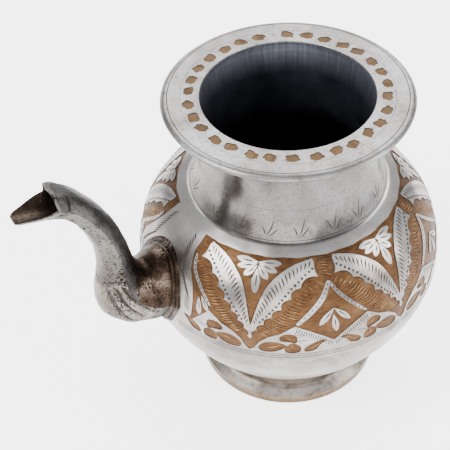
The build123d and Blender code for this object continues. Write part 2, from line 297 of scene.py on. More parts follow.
class Turned:
    """A half section of a turned piece, walked by length s in millimetres.

    The outside is on the right of the walk.
    """

    def __init__(self, points):
        self.points = points
        self.lengths = [0.0]
        for (r0, z0), (r1, z1) in zip(points, points[1:]):
            self.lengths.append(self.lengths[-1] + math.hypot(r1 - r0, z1 - z0))
        self.total = self.lengths[-1]

    def segment(self, s):
        low, high = 0, len(self.lengths) - 2
        while low < high:
            middle = (low + high + 1) // 2
            if self.lengths[middle] <= s:
                low = middle
            else:
                high = middle - 1
        return low

    def at(self, s):
        """Radius, height and outward normal at length s."""
        s = min(max(s, 0.0), self.total)
        i = self.segment(s)
        (r0, z0), (r1, z1) = self.points[i], self.points[i + 1]
        span = self.lengths[i + 1] - self.lengths[i]
        part = (s - self.lengths[i]) / span
        return r0 + part * (r1 - r0), z0 + part * (z1 - z0), (z1 - z0) / span, (r0 - r1) / span

    def smooth_normal(self, s):
        """Outward normal blended between neighbouring segments, but not across a corner."""
        s = min(max(s, 1e-4), self.total - 1e-4)
        i = self.segment(s)
        here = self.at(s)[2:]
        span = self.lengths[i + 1] - self.lengths[i]
        part = (s - self.lengths[i]) / span
        j = i + 1 if part > 0.5 else i - 1
        if j < 0 or j > len(self.points) - 2:
            return here
        there = self.at((self.lengths[j] + self.lengths[j + 1]) / 2)[2:]
        if here[0] * there[0] + here[1] * there[1] < 0.9:
            return here
        share = abs(part - 0.5)
        return here[0] * (1 - share) + there[0] * share, here[1] * (1 - share) + there[1] * share


def curve(points, steps=6, closed=False):
    """A smooth line through the points."""
    count = len(points)
    out = []
    for i in range(count if closed else count - 1):
        if closed:
            p = [points[(i + k) % count] for k in (-1, 0, 1, 2)]
        else:
            p = [points[min(max(i + k, 0), count - 1)] for k in (-1, 0, 1, 2)]
        for k in range(steps):
            t = k / steps
            spot = []
            for a, b, c, d in zip(*p):
                square, cube = 2 * a - 5 * b + 4 * c - d, 3 * b - a - 3 * c + d
                spot.append(0.5 * (2 * b + (c - a) * t + square * t * t + cube * t**3))
            out.append(tuple(spot))
    return out if closed else out + [tuple(points[-1])]


def clockwise(points):
    """True where the outline runs clockwise in the flat drawing."""
    return sum(a[0] * b[1] - b[0] * a[1] for a, b in zip(points, points[1:] + points[:1])) < 0


# Material slots of an engraved piece
# The fourth slot holds a painted glint along the feather cuts
# The last slot holds the painted shade inside the pot
TIN, DIRT, BRASS, GLINT, INSIDE = range(5)


class Engraving:
    """Everything cut into one turned surface, drawn flat as (azimuth in degrees, section length in mm)."""

    def __init__(self, turned, start):
        self.turned = turned
        self.start = start
        self.areas = []
        self.cuts = []
        self.holes = []

    def scale(self, s):
        """Degrees of azimuth per millimetre at length s."""
        return math.degrees(1 / self.turned.at(s)[0])

    def area(self, points, sunk, material):
        """An outline filled with one material, sunk to the cut depth or left standing."""
        self.areas.append((points, sunk, material))

    def cut(self, start, end, width, bow=0.0, material=DIRT, fat=0.4):
        """A graver's stroke from start to end: a lens with a deepened middle line."""
        k = self.scale((start[1] + end[1]) / 2)
        dx, dy = (end[0] - start[0]) / k, end[1] - start[1]
        length = math.hypot(dx, dy)
        if length < 1e-6:
            return
        ux, uy = dx / length, dy / length
        left, right, middle = [], [], []
        for t, w in ((fat * 0.5, 0.75), (fat, 1.0), (0.5 + fat * 0.62, 0.62)):
            off = bow * length * 4 * t * (1 - t)
            x, y = t * dx - uy * off, t * dy + ux * off
            left.append((start[0] + (x - uy * w * width / 2) * k, start[1] + y + ux * w * width / 2))
            right.append((start[0] + (x + uy * w * width / 2) * k, start[1] + y - ux * w * width / 2))
            middle.append((start[0] + x * k, start[1] + y))
        outline = [start] + right + [end] + left[::-1]
        self.cuts.append((outline, [start] + middle + [end], material))

    def line(self, s, width, first, last):
        """A turned line of even width between two azimuths."""
        count = max(2, round((last - first) / 4))
        angles = [first + (last - first) * i / count for i in range(count + 1)]
        lower, upper = [(a, s - width / 2) for a in angles], [(a, s + width / 2) for a in angles[::-1]]
        self.area(lower + upper, True, DIRT)

    def dot(self, centre, size):
        """A small punched square."""
        k = self.scale(centre[1])
        turn = random.uniform(-0.5, 0.5)
        points = []
        for i in range(4):
            a = turn + math.pi / 4 + i * math.pi / 2
            reach = size * random.uniform(0.55, 0.8)
            points.append((centre[0] + math.cos(a) * reach * k, centre[1] + math.sin(a) * reach))
        self.area(points, True, DIRT)


def flat_triangles(engraving, cell):
    """The flat drawing cut into triangles.

    Gives its points, the triangles with what is painted on each, and the depth of the stroke at each point.
    """
    turned, start = engraving.turned, engraving.start
    total = turned.total
    coords, edges, faces, tags, sink = [], [], [], [], {}

    def put(point, depth=0.0):
        coords.append(Vector(((point[0] - start) * FLAT_WIDTH, point[1])))
        if depth:
            sink[len(coords) - 1] = depth
        return len(coords) - 1

    def put_face(points, tag):
        if clockwise(points):
            points = points[::-1]
        faces.append([put(p) for p in points])
        tags.append(tag)

    # Rows of points about one cell apart, and one on every sharp corner of the section
    rows = []
    s = 0.0
    while s < total:
        rows.append(s)
        s += cell(s)
    # A row that would lie too close to the end is left out
    if total - rows[-1] < 0.4 * cell(total):
        rows.pop()
    rows += [total]
    corners = [turned.lengths[i] for i in range(1, len(turned.points) - 1) if corner(turned, i)]
    rows = sorted([r for r in rows if all(abs(r - c) > CORNER_GAP for c in corners)] + corners)
    put_face([(start, 0.0), (start + 360, 0.0), (start + 360, total), (start, total)], ("base",))
    for i, row in enumerate(rows):
        count = max(FEWEST_IN_ROW, round(360 * FLAT_WIDTH / (cell(row) * 1.15)))
        shift = 0.5 if i % 2 and 0 < i < len(rows) - 1 and row not in corners else 0.0
        ring = [put((start + 360 * (k + shift) / count, row)) for k in range(count + (0 if shift else 1))]
        if shift:
            put((start, row))
            put((start + 360, row))
        if row in corners:
            edges += list(zip(ring, ring[1:]))
    for points, sunk, material in engraving.areas:
        put_face(points, ("area", sunk, material))
    for outline, line, material in engraving.cuts:
        put_face(outline, ("cut", material))
        chain = [put(p, GROOVE_DEPTH if 0 < i < len(line) - 1 else 0.0) for i, p in enumerate(line)]
        edges += list(zip(chain, chain[1:]))
    for points in engraving.holes:
        put_face(points, ("hole",))

    points, _, triangles, from_points, _, from_faces = delaunay_2d_cdt(coords, edges, faces, 1, 1e-5, True)
    depths = [max((sink.get(i, 0.0) for i in ids), default=0.0) for ids in from_points]
    painted = [[tags[f] for f in sorted(sources)] for sources in from_faces]
    return points, list(zip(triangles, painted)), depths


def hole_lining(engraving, verts):
    """The faces that line the hole in the wall, between its outer and its inner edge."""
    tree = kdtree.KDTree(len(verts))
    for i, spot in enumerate(verts):
        tree.insert(spot, i)
    tree.balance()
    rims = []
    for points in engraving.holes:
        rims.append([])
        for a, s in points:
            r, z = engraving.turned.at(s)[:2]
            spot = (r * math.cos(math.radians(a)) * MM, r * math.sin(math.radians(a)) * MM, z * MM)
            rims[-1].append(tree.find(spot)[1])
    faces = []
    for outer, inner in zip(rims[::2], rims[1::2]):
        for i, j in enumerate(list(range(1, len(outer))) + [0]):
            faces.append([outer[j], outer[i], inner[i], inner[j]])
    return faces


def engraved_piece(name, engraving, materials, cell, plain):
    """Builds the turned surface as one closed mesh: areas are sunk with upright walls, strokes are V grooves.

    plain(s) says which material the uncut surface has at length s, and cell(s) how large its triangles are.
    """
    turned, start = engraving.turned, engraving.start
    flat, triangles, depths = flat_triangles(engraving, cell)
    closed = math.dist(turned.points[0], turned.points[-1]) < 1e-6
    mesh_verts, index, normals, mesh_faces, mesh_mats = [], {}, [], [], []
    half_edges = {}

    def vertex(i, sunk):
        x, s = flat[i]
        a = start + x / FLAT_WIDTH
        if abs(a - (start + 360)) < 1e-4:
            a = start
        r, z, nr, nz = turned.at(s)
        depth = (CUT_DEPTH if sunk else 0.0) + depths[i]
        key = (round(a, 4), round(s, 4), round(depth, 4))
        if closed and abs(s - turned.total) < 1e-3:
            key = (key[0], 0.0, key[2])
        if key not in index:
            angle = math.radians(a)
            r, z = r - depth * nr, z - depth * nz
            index[key] = len(mesh_verts)
            mesh_verts.append((r * math.cos(angle) * MM, r * math.sin(angle) * MM, z * MM))
        return index[key]

    # The last area or stroke painted over a triangle decides its material
    for tri, chosen in triangles:
        if not chosen or any(tag[0] == "hole" for tag in chosen):
            continue
        sunk, material, cut = False, None, False
        for tag in chosen:
            if tag[0] == "area":
                sunk, material = tag[1], tag[2]
            elif tag[0] == "cut":
                cut, material = True, tag[1]
        middle = sum(flat[i][1] for i in tri) / len(tri)
        if material is None:
            material = plain(middle)
        corner_ids = [vertex(i, sunk) for i in tri]
        if len(set(corner_ids)) < 3:
            continue
        mesh_faces.append(corner_ids)
        mesh_mats.append(material)
        # The shading is read a little inside the triangle, clear of the section's corners
        spots = [(flat[i][0], flat[i][1] + 0.02 * (middle - flat[i][1])) for i in tri]
        normals.append(None if cut else spots)
        for a, b in zip(tri, tri[1:] + tri[:1]):
            half_edges[(a, b)] = sunk
    # An upright wall stands wherever sunk ground meets ground that was left
    for (a, b), sunk in half_edges.items():
        other = half_edges.get((b, a))
        if other is None or sunk or not other:
            continue
        top_a, top_b, low_a, low_b = vertex(a, False), vertex(b, False), vertex(a, True), vertex(b, True)
        if len({top_a, top_b, low_a, low_b}) == 4:
            mesh_faces.append([top_b, top_a, low_a, low_b])
            mesh_mats.append(DIRT)
            normals.append(None)

    for face in hole_lining(engraving, mesh_verts) if engraving.holes else []:
        mesh_faces.append(face)
        mesh_mats.append(DIRT)
        normals.append(None)

    mesh = bpy.data.meshes.new(name)
    mesh.from_pydata(mesh_verts, [], mesh_faces)
    for material in materials:
        mesh.materials.append(material)
    mesh.polygons.foreach_set("material_index", mesh_mats)
    mesh.polygons.foreach_set("use_smooth", [True] * len(mesh_faces))
    # Strokes, walls and the hole's lining are shaded flat, everything else like the turned surface
    corner_normals = []
    for polygon, spots in zip(mesh.polygons, normals):
        if spots is None:
            corner_normals += [tuple(polygon.normal)] * polygon.loop_total
            continue
        for x, s in spots:
            nr, nz = turned.smooth_normal(s)
            angle = math.radians(start + x / FLAT_WIDTH)
            n = Vector((nr * math.cos(angle), nr * math.sin(angle), nz)).normalized()
            corner_normals.append(tuple(n))
    mesh.normals_split_custom_set(corner_normals)
    mesh.update()
    return standing(name, mesh)


def standing(name, mesh):
    """The mesh as a piece of the pot."""
    piece = bpy.data.objects.new(name, mesh)
    bpy.context.scene.collection.objects.link(piece)
    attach(piece, "root")
    return piece


def corner(turned, i):
    """True where the section turns sharply at point i."""
    (r0, z0), (r1, z1), (r2, z2) = turned.points[i - 1 : i + 2]
    a, b = Vector((r1 - r0, z1 - z0)).normalized(), Vector((r2 - r1, z2 - z1)).normalized()
    return a.dot(b) < 0.86


# ---------------------------------------------------------------- the engraved belly


def belly_radius(z):
    """Outer radius of the upper half of the belly, eased inwards above the shoulder."""
    rise = (max(z, BELLY_Z) - BELLY_Z) / UPPER_RISE
    r = BELLY_RADIUS * (1 - rise**UPPER_EXPONENT) ** (1 / UPPER_EXPONENT)
    if z <= SHOULDER_Z:
        return r
    return r - SHOULDER_EASE * ((z - SHOULDER_Z) / (SHELL_TOP[1] - SHOULDER_Z)) ** 2


def shell_section(outer, wall):
    """The outer line walked upwards, then the inner line back down, as one closed section."""
    inner = []
    for i, (r, z) in enumerate(outer):
        (r0, z0), (r1, z1) = outer[max(i - 1, 0)], outer[min(i + 1, len(outer) - 1)]
        length = math.hypot(r1 - r0, z1 - z0)
        inner.append((r - wall * (z1 - z0) / length, z + wall * (r1 - r0) / length))
    inner[0] = (inner[0][0], outer[0][1])
    inner[-1] = (inner[-1][0], outer[-1][1])
    return outer + inner[::-1] + [outer[0]]


BELLY_STEPS = 40
belly_outer = []
for i in range(BELLY_STEPS):
    z = SHELL_FOOT_Z + i * (SHELL_TOP[1] - SHELL_FOOT_Z) / BELLY_STEPS
    belly_outer.append((belly_radius(z), z))
belly_outer.append(SHELL_TOP)
belly = Turned(shell_section(belly_outer, WALL))
BELLY_OUTER_LENGTH = belly.lengths[BELLY_STEPS]
BELLY_INNER_START = belly.lengths[BELLY_STEPS + 1]
EQUATOR = BELLY_Z - SHELL_FOOT_Z

# The mesh's seam and half the plain panel behind the spout in degrees, and the band's height in millimetres
SEAM_AT = 8.8
PANEL_HALF = 14.6
BAND_TOP = 58.7

# Azimuths of the middle of each V, and half its span: the engraver set them out by eye, wider at the front
HALF_SPANS = (30.0, 28.7, 27.2, 26.5, 26.3, 26.7)
V_MOTIFS = []
edge = PANEL_HALF
for half in HALF_SPANS:
    V_MOTIFS.append((edge + half, half / 29.0))
    edge += 2 * half
PANEL_FAR_EDGE = edge

engraving = Engraving(belly, SEAM_AT)


def place(at, points):
    """Motif points put on the pot.

    A motif's x is degrees from its middle and its y millimetres above the belly line; at is the azimuth of
    that middle, the width it is drawn out to, and the side x runs to.
    """
    centre, width, side = at
    return [(centre + side * width * x, EQUATOR + y) for x, y in points]


def fill(at, outline, sunk, material):
    """An area of the motif."""
    engraving.area(place(at, outline), sunk, material)


def stroke(at, a, b, **shape):
    """A graver's stroke of the motif."""
    engraving.cut(*place(at, [a, b]), **shape)


def along(points, t):
    """The point a share t along a line of points."""
    lengths = [math.dist(a, b) for a, b in zip(points, points[1:])]
    left = t * sum(lengths)
    for (a, b), length in zip(zip(points, points[1:]), lengths):
        if left <= length or b is points[-1]:
            k = left / length
            return a[0] + (b[0] - a[0]) * k, a[1] + (b[1] - a[1]) * k
        left -= length
    return points[-1]


def between(first, second, t, share):
    """The point a share of the way from one line to the other, at t along both."""
    a, b = along(first, t), along(second, t)
    return a[0] + (b[0] - a[0]) * share, a[1] + (b[1] - a[1]) * share


def scalloped(cusps, bulge, steps=5):
    """A line of arcs from cusp to cusp, bulging to the left of the walk."""
    line = []
    for a, b in zip(cusps, cusps[1:]):
        for k in range(steps):
            t = k / steps
            rise = bulge * 4 * t * (1 - t)
            dx, dy = b[0] - a[0], b[1] - a[1]
            line.append((a[0] + dx * t - dy * rise, a[1] + dy * t + dx * rise))
    return line + [cusps[-1]]


def petal(at, base, tip, width, belly_at=0.62):
    """A pointed petal from base to tip, with the stroke along its middle; width in millimetres."""
    k = engraving.scale(EQUATOR + (base[1] + tip[1]) / 2) / at[1]
    dx, dy = (tip[0] - base[0]) / k, tip[1] - base[1]
    length = math.hypot(dx, dy)
    ux, uy = dx / length, dy / length
    left, right = [], []
    for t, w in ((0.12, 0.32), (0.38, 0.78), (belly_at, 1.0), (0.86, 0.66)):
        x, y = t * dx, t * dy
        left.append((base[0] + (x - uy * w * width / 2) * k, base[1] + y + ux * w * width / 2))
        right.append((base[0] + (x + uy * w * width / 2) * k, base[1] + y - ux * w * width / 2))
    fill(at, curve([base] + right + [tip] + left[::-1], 3, closed=True), False, TIN)
    stroke(at, along([base, tip], 0.22), along([base, tip], 0.74), width=0.75, bow=0.03)


# One arm of a V in motif points: its upper edge, the cusps of its lower edge, its tip, and the line between
# them that its rows of strokes and dots are measured to
LEAF_OUTER = [(23.9, 57.6), (16.3, 55.2), (10.4, 51.0), (5.4, 44.4), (2.9, 37.0), (1.5, 30.0), (0.35, 22.8)]
LEAF_CUSPS = [(25.4, 48.2), (18.0, 43.2), (14.3, 37.6), (10.8, 32.0), (7.5, 27.2)]
LEAF_CUSPS += [(4.7, 22.9), (2.4, 18.8), (0.9, 14.6)]
LEAF_TIP = [(25.4, 48.2), (24.5, 50.6), (24.4, 53.2), (24.6, 55.8), (23.9, 57.6)]
GUIDE = [(24.8, 52.5), (20.5, 48.0), (16.0, 42.4), (12.4, 36.6), (9.0, 31.2), (5.6, 26.4), (2.4, 21.8)]


def big_leaf(at):
    """One arm of a V: a tin half with hatched and dotted rows and a scalloped edge, above feathered brass."""
    side = at[2]
    outer = curve(LEAF_OUTER, 4)
    inner = scalloped(LEAF_CUSPS[::-1], 0.27)
    fill(at, outer + [(0.0, 21.5), (0.0, 12.6)] + inner[:-1] + curve(LEAF_TIP, 3)[:-1], False, TIN)
    for edge_points, dx, dy in ((outer[::2], -0.28, 0.25), (inner[::2], 0.25, -0.30)):
        for a, b in zip(edge_points, edge_points[1:]):
            stroke(at, (a[0] + dx, a[1] + dy), (b[0] + dx, b[1] + dy), width=0.42, fat=0.5)
    for i in range(20):
        t = (i + 0.55) / 20.6
        a = between(outer, GUIDE, t, 0.10 + 0.05 * random.random())
        b = between(outer, GUIDE, min(t + 0.055, 1.0), 0.52 + 0.08 * random.random())
        stroke(at, a, b, width=random.uniform(0.75, 0.95), bow=0.06 * side)
    for i in range(17):
        t = (i + 0.7) / 17.8
        engraving.dot(*place(at, [between(outer, GUIDE, t, 0.84)]), 1.25)
    for number, (a, b) in enumerate(zip(LEAF_CUSPS, LEAF_CUSPS[1:-1])):
        for k in range(4):
            t = (k + 0.5) / 4
            x, y = a[0] + (b[0] - a[0]) * t + 0.3, a[1] + (b[1] - a[1]) * t - 0.6
            reach = random.uniform(5.4, 7.0) * (1.0 if number else 0.55) * (0.6 if number > 4 else 1.0)
            drop = random.uniform(2.4, 3.6)
            stroke(at, (x, y), (x + reach, y - drop), width=0.5, bow=-0.12 * side)
            # Under each dark feather cut runs a bright stroke, a painted glint on its edge
            glint = (x, y - 0.6), (x + reach, y - 0.6 - drop)
            stroke(at, *glint, width=0.62, bow=-0.12 * side, material=GLINT)


def flower(centre, width):
    """Petals in the mouth of the V, fanned under its top edge, with a hanging leaf."""
    right, left = (centre, width, 1), (centre, width, -1)
    for base, right_tip, left_tip, petal_width in (
        ((0.0, 55.2), (10.4, 55.6), (10.2, 55.4), 3.7),
        ((0.4, 54.4), (8.6, 51.2), (8.8, 51.4), 3.5),
        ((0.3, 53.4), (4.9, 47.2), (5.1, 47.6), 3.8),
    ):
        petal(right, base, right_tip, petal_width)
        petal(left, base, left_tip, petal_width)
    petal(right, (0.0, 52.0), (0.4, 39.4), 4.6, belly_at=0.5)


def leaf_arm(at, line, thickness, dots):
    """A narrow tin strip with a row of punched dots, tapering to both ends."""
    path = curve(line, 5)
    left, right = [], []
    for i, (x, y) in enumerate(path):
        (x0, y0), (x1, y1) = path[max(i - 1, 0)], path[min(i + 1, len(path) - 1)]
        k = engraving.scale(EQUATOR + y) / at[1]
        dx, dy = (x1 - x0) / k, y1 - y0
        length = math.hypot(dx, dy)
        swell = max(math.sin(math.pi * i / (len(path) - 1)), 0.0) ** 0.6
        w = thickness / 2 * (0.45 + 0.55 * swell)
        left.append((x - dy / length * w * k, y + dx / length * w))
        right.append((x + dy / length * w * k, y - dx / length * w))
    fill(at, left + right[::-1], False, TIN)
    for i in range(dots):
        engraving.dot(*place(at, [along(path, (i + 0.7) / (dots + 0.6))]), 0.8)


def under_tent(at):
    """Half of what stands under the tent between two Vs; x runs from the middle of the tent towards the V."""
    if at[2] > 0:
        leaf_arm(at, [(0.2, 45.0), (3.2, 38.4), (7.4, 31.8), (13.2, 23.6)], 1.9, 10)
    else:
        leaf_arm(at, [(-0.1, 45.0), (2.8, 37.4), (7.0, 31.0), (12.8, 23.4)], 2.9, 10)
    for i in range(17):
        t = (i + 0.3) / 17.2
        x, y = along(TENT, t)
        foot = (x + 0.6 + 0.5 * t, y - 4.6 + random.uniform(-0.5, 0.3))
        stroke(at, (x, y - 0.35), foot, width=0.55, bow=0.04)


def spray(at):
    """The brass leaves and twig cut out of the tin at the foot of the band, on one side of a tent."""
    for blade in (
        [(2.6, 12.0), (4.6, 9.6), (6.4, 6.0), (9.6, 4.9), (10.4, 7.4), (8.2, 10.2), (5.0, 12.4)],
        [(12.6, 10.6), (11.4, 8.2), (12.2, 4.7), (16.4, 4.7), (17.0, 8.6), (14.9, 11.4)],
        [(13.6, 11.4), (12.6, 13.6), (13.4, 17.0), (16.6, 17.8), (18.9, 15.6), (18.2, 13.0), (15.4, 12.4)],
        [(16.6, 10.2), (18.2, 6.9), (21.6, 4.8), (25.2, 5.2), (26.0, 8.4), (23.8, 11.6), (20.2, 12.3)],
    ):
        fill(at, curve(blade, 3, closed=True), True, BRASS)
    # The bright strokes in the brass leaves are painted glints along the cuts
    for a, b in (
        ((4.0, 11.0), (8.8, 6.4)),
        ((14.6, 10.2), (14.2, 5.9)),
        ((14.7, 13.2), (16.8, 16.4)),
        ((18.2, 10.4), (23.4, 7.2)),
    ):
        stroke(at, a, b, width=0.55, bow=0.05, material=GLINT)
    stroke(at, (8.6, 13.6), (14.4, 11.3), width=0.6, bow=-0.06)
    stroke(at, (19.4, 15.4), (14.6, 11.6), width=0.45, bow=0.05)


def tent_boss(at):
    """The ringed brass boss on top of a tent, with five feathered lines."""
    ring = [(4.1 * math.cos(i * 0.45 - 0.2), 52.8 + 4.7 * math.sin(i * 0.45 - 0.2)) for i in range(15)]
    for a, b in zip(ring, ring[1:]):
        stroke(at, a, b, width=0.65, bow=0.05, fat=0.5)
    for i in range(5):
        x, y = -2.2 + 0.3 * abs(i - 2), 55.6 - 1.5 * i
        # Each line is a dark cut with a painted glint just below it
        for lower, material in ((0.0, DIRT), (0.55, GLINT)):
            a, b = (x, y - lower), (-x + 0.4, y - lower - 1.4)
            stroke(at, a, b, width=0.55, bow=0.10, material=material)


def panel_edge(at):
    """The end of the band beside the plain panel behind the spout, with the hatching on the panel."""
    leaf_arm(at, [(1.0, 48.0), (3.0, 41.0), (7.6, 34.0), (13.4, 25.6)], 2.1, 11)
    petal(at, (8.4, 27.6), (9.4, 17.4), 3.4)
    petal(at, (9.2, 29.0), (13.0, 21.4), 2.8)
    spray(at)
    hatching = [(-6.4, 56.5), (-5.4, 46.0), (-4.0, 38.0), (-0.6, 32.0), (2.2, 26.0), (2.4, 17.0)]
    for i in range(26):
        x, y = along(hatching, (i + 0.5) / 26)
        stroke(at, (x - 0.4, y + 0.4), (x + 3.0, y - 3.1), width=0.8, bow=0.05)


# The edge of the brass ground: from the foot of a V outwards, from the middle of a tent outwards, and down
# the end of the band beside the plain panel
RISE = [(0.0, 4.8), (1.6, 6.8), (3.4, 11.6), (6.6, 15.4), (10.6, 17.8), (15.6, 22.6)]
TENT = [(0.2, 11.0), (4.2, 15.4), (8.6, 19.2), (13.4, 22.4)]
PANEL_EDGE = [(-0.9, BAND_TOP), (-0.8, 48.0), (1.4, 39.5), (5.0, 31.0), (6.2, 24.0), (6.2, 15.0), (4.6, 8.0)]


def ground_outline():
    """The brass ground of the band: its lower edge rises from the foot of each V to the tent beside it."""
    lower = []
    for number, (centre, width) in enumerate(V_MOTIFS):
        half = HALF_SPANS[number]
        rise = [(x * width, y) for x, y in RISE]
        tent = [(half - x * width, y) for x, y in TENT]
        if number:
            lower += [(centre - x, y) for x, y in tent]
        lower += [(centre - x, y) for x, y in rise[::-1]] + [(centre + x, y) for x, y in rise[1:]]
        if number < len(V_MOTIFS) - 1:
            lower += [(centre + x, y) for x, y in tent[::-1]]
    first, last = V_MOTIFS[0][0] - HALF_SPANS[0], V_MOTIFS[-1][0] + HALF_SPANS[-1]
    right = [(last - x, y) for x, y in PANEL_EDGE[::-1]]
    top = [(last + (first - last) * i / 90, BAND_TOP + 0.25 * math.sin(i * 1.7)) for i in range(1, 90)]
    left = [(first + x, y) for x, y in PANEL_EDGE]
    return [(x, EQUATOR + y) for x, y in lower + right + top + left]


# Points round the hole, and halvings of the search for the height of each
HOLE_POINTS = 48
HALVINGS = 40


def wall_hole():
    """Where the round passage behind the spout meets the outside and the inside of the wall."""
    loops = []
    for first, last in ((0.0, BELLY_OUTER_LENGTH), (BELLY_INNER_START, belly.total)):
        loop = []
        for i in range(HOLE_POINTS):
            a = i * math.tau / HOLE_POINTS
            height = SPOUT_ROOT_Z + WALL_HOLE_RADIUS * math.sin(a)
            low, high = (first, last) if first == 0.0 else (last, first)
            for _ in range(HALVINGS):
                middle = (low + high) / 2
                low, high = (middle, high) if belly.at(middle)[1] < height else (low, middle)
            r = belly.at(low)[0]
            loop.append((360 + math.degrees(math.asin(WALL_HOLE_RADIUS * math.cos(a) / r)), low))
        loops.append(loop)
    return loops


engraving.area(ground_outline(), True, BRASS)
for number, (centre, width) in enumerate(V_MOTIFS):
    for side in (-1, 1):
        big_leaf((centre, width, side))
    flower(centre, width)
    if number < len(V_MOTIFS) - 1:
        tent_at = centre + HALF_SPANS[number]
        sides = (tent_at, width, -1), (tent_at, V_MOTIFS[number + 1][1], 1)
        for half in sides:
            under_tent(half)
        for half in sides:
            spray(half)
        middle = (tent_at, width, 1)
        petal(middle, (0.6, 30.5), (-5.0, 22.0), 3.4)
        petal(middle, (0.2, 27.0), (1.0, 16.6), 3.6)
        petal(middle, (0.6, 30.5), (6.2, 22.2), 3.0)
        tent_boss((tent_at, 1.0, 1))
panel_edge((PANEL_HALF, V_MOTIFS[0][1], 1))
panel_edge((PANEL_FAR_EDGE, V_MOTIFS[-1][1], -1))
engraving.holes = wall_hole()
for height in (0.75, 2.15, 3.55):
    engraving.line(EQUATOR + height, 0.42, 14.0, 346.0)

engraved_body = engraved_piece(
    "engraved_upper_body",
    engraving,
    (BELLY_TIN, GROOVE, CUT_BRASS, GLINT_CUT, SHADED_INSIDE_TIN),
    cell=lambda s: 2.4 if s < BELLY_OUTER_LENGTH + 1 else 5.0,
    plain=lambda s: TIN if s < BELLY_OUTER_LENGTH + 1.5 else INSIDE,
)
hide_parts("upper_body_shell")


# ---------------------------------------------------------------- bowl, neck and rim


# Material slots for the painted shade inside the pot and for the marks of the rim
SHADED_INSIDE, HAMMERED = 2, 3


def turned_piece(name, node, work, materials, plain, cell):
    """A turned piece, with its engraving if it has any, that stands for its solid."""
    piece = engraved_piece(name, work, materials, cell=cell, plain=plain)
    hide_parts(node)


def lower_radius(z):
    """Outer radius of the lower half of the belly."""
    return BELLY_RADIUS * (1 - ((BELLY_Z - z) / LOWER_DROP) ** LOWER_EXPONENT) ** (1 / LOWER_EXPONENT)


BOWL_STEPS = 32
bowl_outer = curve([(0.4, 8.0), (13.0, 8.3), (26.0, 9.4), (lower_radius(17.0), 17.0)], 5)
bowl_outer += [(lower_radius(z), z) for z in (19.0 + i * 59.6 / BOWL_STEPS for i in range(BOWL_STEPS + 1))]
bowl = Turned(shell_section(bowl_outer, WALL))
BOWL_OUTER_LENGTH = bowl.lengths[len(bowl_outer) - 1]
turned_piece(
    "lower_belly_bowl",
    "lower_body_bowl",
    Engraving(bowl, 3.0),
    (BOWL_TIN, GROOVE, SHADED_INSIDE_TIN),
    plain=lambda s: TIN if s < BOWL_OUTER_LENGTH + 0.5 else SHADED_INSIDE,
    cell=lambda s: 4.0,
)

neck_outer = curve(NECK_OUTLINE, 5)
neck = Turned(shell_section(neck_outer, NECK_WALL))
NECK_OUTER_LENGTH = neck.lengths[len(neck_outer) - 1]
neck_work = Engraving(neck, 3.0)
SPRIGS = 19
for i in range(SPRIGS):
    a = 9.0 + i * 352 / SPRIGS + random.uniform(-1.5, 1.5)
    for foot_x, foot_y, tip_x, tip_y in ((0.5, 2.8, 4.8, 13.0), (1.6, 2.6, 7.4, 8.2), (0.0, 3.2, -2.6, 8.6)):
        tip = (a + tip_x, tip_y + random.uniform(-0.6, 0.6))
        neck_work.cut((a + foot_x, foot_y), tip, width=0.72, bow=-0.05)
neck_work.line(0.9, 0.30, 3.3, 362.7)
neck_work.line(17.5, 0.14, 3.3, 362.7)
turned_piece(
    "engraved_neck",
    "neck_collar",
    neck_work,
    (SHADED_NECK_TIN, GROOVE, SHADED_INSIDE_TIN),
    plain=lambda s: TIN if s < NECK_OUTER_LENGTH + 0.5 else SHADED_INSIDE,
    cell=lambda s: 3.0,
)

RIM_UNDER = RIM_TOP - RIM_THICKNESS
EDGE_TOP_RADIUS = 61.6
drop_edge = [(63.6, 184.2), (64.6, 184.7), (RIM_RADIUS, RIM_UNDER), (64.2, 187.1), (63.0, 187.75)]
drop_edge = curve(drop_edge + [(EDGE_TOP_RADIUS, RIM_TOP)], 4)
mouth_edge = [(52.0, RIM_TOP), (45.0, RIM_TOP), (MOUTH_RADIUS, 187.6), (MOUTH_RADIUS, RIM_UNDER)]
rim = Turned(drop_edge + mouth_edge + [(60.0, RIM_UNDER), (63.6, 184.2)])
RIM_TOP_START = rim.lengths[len(drop_edge) - 1]
RIM_BORE_START = RIM_TOP_START + 16.8
# The mesh's seam lies in the wide gap that the engraver left in the ring of marks
RIM_MARK_GAP = 247.0
rim_work = Engraving(rim, RIM_MARK_GAP - 360)


def rim_at(r):
    """Section length of the rim's flat top at radius r."""
    return RIM_TOP_START + EDGE_TOP_RADIUS - r


RIM_MARKS = 30
MARK_POINTS = 18
for i in range(RIM_MARKS):
    a = rim_work.start + 8.5 + i * (360 - 17.0) / (RIM_MARKS - 1) + random.uniform(-0.8, 0.8)
    radius = 50.6 + random.uniform(-0.7, 0.7)
    turn = random.uniform(-0.5, 0.5)
    outline = []
    for k in range(MARK_POINTS):
        t = k * math.tau / MARK_POINTS
        square = 1 / max(abs(math.cos(t)), abs(math.sin(t))) ** 0.45
        reach = square * (1 + 0.16 * random.uniform(-1, 1))
        x, y = 3.15 * reach * math.cos(t), 2.35 * reach * math.sin(t)
        x, y = x * math.cos(turn) - y * math.sin(turn), x * math.sin(turn) + y * math.cos(turn)
        outline.append((a + x * rim_work.scale(rim_at(radius)), rim_at(radius) + y))
    border = [(a + (x - a) * 1.13, rim_at(radius) + (y - rim_at(radius)) * 1.15) for x, y in outline]
    rim_work.area(border, True, DIRT)
    rim_work.area(outline, True, HAMMERED)
for radius, width in ((61.2, 0.45), (54.6, 0.16)):
    rim_work.line(rim_at(radius), width, rim_work.start + 0.05, rim_work.start + 359.95)
